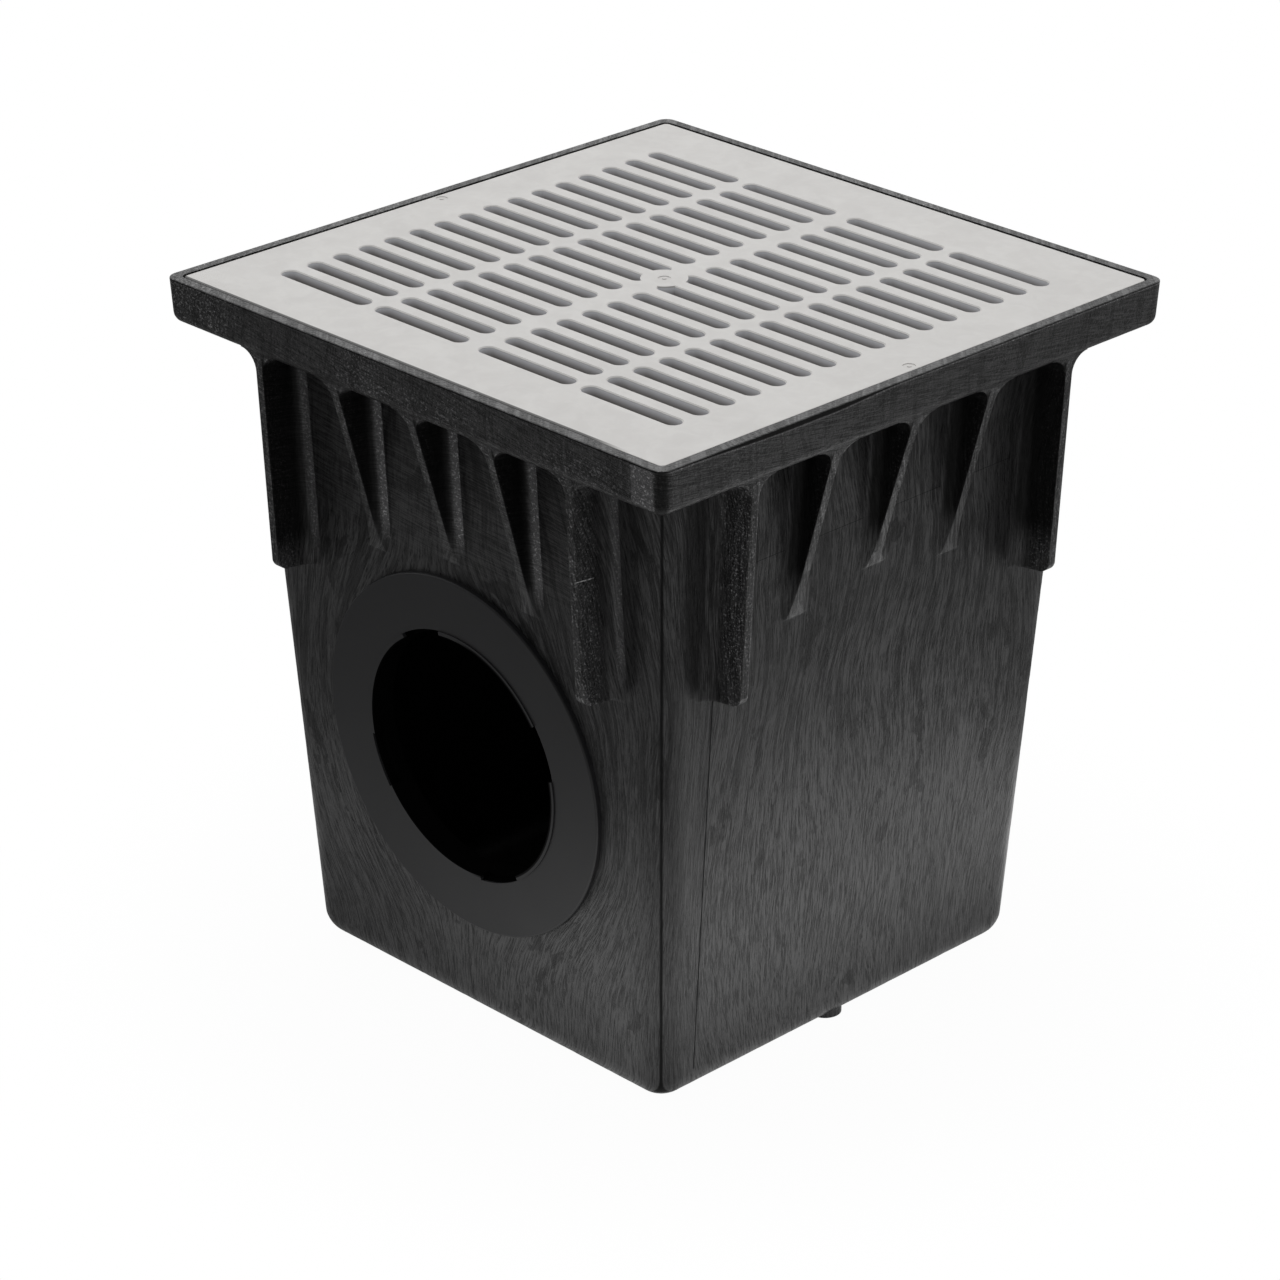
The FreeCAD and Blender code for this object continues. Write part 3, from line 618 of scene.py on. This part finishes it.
# %% The two mould lines
LINE_COLOURS = ((0.003, 0.003, 0.003, 1), (0.008, 0.008, 0.009, 1))
LINE_RADIUS = 0.0005
PARTING_Y = -0.1445
PARTING_ENDS_Z = (0.0205, RIM_TOP - 0.194)
PARTING_SUNK = 0.0003
WITNESS_Z = RIM_TOP - 0.109
WITNESS_ENDS_Y = (-0.128, 0.128)
WITNESS_SUNK = 0.00045


def on_right_wall(y, z, sunk):
    """A point that lies a given depth inside the +X wall."""
    return (WALL_AT_GROUND + z * WALL_SLOPE - sunk, y, z)


line_black, line_shader = worn_material(
    "line_black", 60.0, 3.0, (0.35, 0.65), LINE_COLOURS, 0.55, 0.15)
line_shader.inputs["Specular IOR Level"].default_value = 0.15
ridge("parting_line", [on_right_wall(PARTING_Y, z, PARTING_SUNK) for z in PARTING_ENDS_Z],
      LINE_RADIUS, line_black)
ridge("witness_line", [on_right_wall(y, WITNESS_Z, WITNESS_SUNK) for y in WITNESS_ENDS_Y],
      LINE_RADIUS, line_black)

# %% [markdown]
# ## A scuff on a rib
# The near rib of the front wall has one pale scuff across its side, where something scraped the
# black skin. A mask in the foam could draw it, but it is finer than a streak and would fray
# with them. So it is a very fine ridge too, in a torn, greyer plastic.

# %% The scuff
SCUFF_COLOURS = ((0.10, 0.10, 0.10, 1), (0.45, 0.45, 0.45, 1))
SCUFF_X = 0.15025
SCUFF_SUNK = 0.0002
SCUFF_ENDS = ((-0.2254, 0.1015), (-0.2100, 0.1030))
SCUFF_RADIUS = 0.0004

scuffed_grey, _ = worn_material(
    "scuffed_grey", 900.0, 2.0, (0.4, 0.6), SCUFF_COLOURS, 0.5, 0.2)
ridge("rib_scuff", [(SCUFF_X - SCUFF_SUNK, y, RIM_TOP - drop) for y, drop in SCUFF_ENDS],
      SCUFF_RADIUS, scuffed_grey)

# %% [markdown]
# ## The floor
# The object stands on a white floor, and nearly all that shows on its black skin is that floor,
# mirrored. Lamps alone could light it, but they would move what is mirrored and what the camera
# sees together. The Light Path node tells the rays apart, so each gets its own floor. The
# camera sees white, a touch greyer at the foot. A mirrored ray sees a bright square round the
# object that is dimmer close to the walls and on the left, and fades with distance, as under a
# studio lamp that hangs over the object. All other rays see plain white paint.

# %% Floor
FLOOR_REACH = 6.0
PATCH_NEAR = 0.32
PATCH_FAR = 0.49
NEAR_LEFT, NEAR_RIGHT = 0.33, 1.0
FAR_LEFT, FAR_RIGHT = 0.15, 0.35
FOOT_SHADE = 0.03

floor_mesh = bpy.data.meshes.new("floor")
floor_mesh.from_pydata([(-FLOOR_REACH, -FLOOR_REACH, 0), (FLOOR_REACH, -FLOOR_REACH, 0),
                        (FLOOR_REACH, FLOOR_REACH, 0), (-FLOOR_REACH, FLOOR_REACH, 0)],
                       [], [(0, 1, 2, 3)])
floor = bpy.data.objects.new("floor", floor_mesh)
bpy.context.scene.collection.objects.link(floor)
print("floor %.0f m across" % (2 * FLOOR_REACH))

# %% What each ray sees of the floor
floor_white, floor_shader, start = new_material("floor_white")
floor_shader.inputs["Base Color"].default_value = (0.86, 0.86, 0.86, 1)
floor_shader.inputs["Roughness"].default_value = 0.9
x, y, _ = axes_of(start, place_on(start))
camera_ray, glossy_ray, clear_ray = (
    start.node("ShaderNodeLightPath", out=name) for name in (
        "Is Camera Ray", "Is Glossy Ray", "Is Transmission Ray"))
painted = Wire(start.tree, floor_shader.outputs[0])
white = start.node("ShaderNodeEmission", None, {"Color": (1, 1, 1, 1), "Strength": 1.0})
black = start.node("ShaderNodeEmission", None, {"Color": (0, 0, 0, 1), "Strength": 0.0})

away = (x * x + y * y).root()
square = x.size().either(y.size())
beside = square - WALL_AT_GROUND
# Painted shadow of the object in the mirrored floor: darker under it and close to its walls.
contact_shade = 0.1 + beside.step(-0.03, 0.01) * 0.4 + beside.step(0.0, 0.13) * 0.5
near_level = NEAR_LEFT + x.step(-0.3, 0.2) * (NEAR_RIGHT - NEAR_LEFT)
far_level = FAR_LEFT + x.step(-0.2, 0.5) * (FAR_RIGHT - FAR_LEFT)
fade = square.step(PATCH_NEAR, PATCH_FAR)
mirrored = mixed(start, between(start, fade, near_level, far_level) * contact_shade, black, white)
watched = mixed(start, (1 - FOOT_SHADE) + away.step(0.25, 0.5) * FOOT_SHADE, painted, white)
lit = mixed(start, glossy_ray, painted, mirrored)
show(mixed(start, camera_ray.either(clear_ray), lit, watched))
floor_mesh.materials.append(floor_white)
print("the mirrored floor fades from %.2f to %.2f m" % (PATCH_NEAR, PATCH_FAR))

# %% [markdown]
# ## The room
# Above the floor's edge the skin mirrors the room, which is bright behind the object and dark
# on the camera's side, so that the walls stay black. A picture of a studio could do this, but a
# soft step across the view needs no file. The camera sees the room as white, and rays that
# only fill the shade find at least a medium grey, which keeps the shade open.

# %% Room
CAMERA_SIDE = 0.04
BACK_SIDE = 0.85
FILL = 0.45
DIAGONAL = 0.7071

room = bpy.data.worlds.new("room")
room.use_nodes = True
bpy.context.scene.world = room
start = Wire(room.node_tree)
look_x, look_y, _ = axes_of(start, start.node("ShaderNodeTexCoord", out="Generated"))
behind = ((look_y - look_x) * DIAGONAL).step(-0.45, 0.7)
level = CAMERA_SIDE + behind * (BACK_SIDE - CAMERA_SIDE)
camera_ray, glossy_ray = (
    start.node("ShaderNodeLightPath", out=name) for name in ("Is Camera Ray", "Is Glossy Ray"))
strength = between(start, camera_ray,
                   between(start, glossy_ray, level.either(FILL), level), 1.0)
background = room.node_tree.nodes["Background"]
background.inputs["Color"].default_value = (1, 1, 1, 1)
plug(strength, background, "Strength")
print("room from %.2f on the camera's side to %.2f behind" % (CAMERA_SIDE, BACK_SIDE))

# %% [markdown]
# ## The lamp
# One large soft lamp over the object lights the grate evenly. A sun would draw hard shadows in
# the slots, so a square area lamp hangs a little behind the object and looks down at it.

# %% Lamp
LAMP_PLACE = Vector((-0.2, 0.2, 2.2))
LAMP_TARGET = Vector((0, 0, 0.3))
LAMP_SIDE = 1.6
LAMP_WATTS = 16

light = bpy.data.lights.new("top_light", "AREA")
light.shape = "SQUARE"
light.size = LAMP_SIDE
light.energy = LAMP_WATTS
lamp = bpy.data.objects.new("top_light", light)
lamp.location = LAMP_PLACE
lamp.rotation_euler = (LAMP_TARGET - LAMP_PLACE).to_track_quat("-Z", "Y").to_euler()
bpy.context.scene.collection.objects.link(lamp)
print("%s gives %d W" % (lamp.name, LAMP_WATTS))

# %% [markdown]
# ## Camera
# The camera stands where the photograph's perspective puts it, with a long lens that looks
# down on the grate. Its place and its focal length were fitted to the straight edges of the
# rim, the grate and the walls, because moving it by eye would never line up all of them.

# %% Camera
CAMERA_PLACE = Vector((1.9717, -1.9573, RIM_TOP + 1.0435))
CAMERA_LOOK = Vector((-0.6457, 0.6336, -0.4262))
FOCAL_PIXELS = 4467.3
FRAME_PIXELS = 1280
SENSOR_SIDE = 36

camera_data = bpy.data.cameras.new("camera")
camera_data.sensor_width = SENSOR_SIDE
camera_data.sensor_height = SENSOR_SIDE
camera_data.sensor_fit = "HORIZONTAL"
camera_data.lens = FOCAL_PIXELS / FRAME_PIXELS * SENSOR_SIDE
camera = bpy.data.objects.new("camera", camera_data)
camera.location = CAMERA_PLACE
camera.rotation_euler = CAMERA_LOOK.to_track_quat("-Z", "Y").to_euler()
bpy.context.scene.collection.objects.link(camera)
bpy.context.scene.camera = camera
bpy.context.scene.view_settings.view_transform = "Standard"
print("lens %.1f mm" % camera_data.lens)
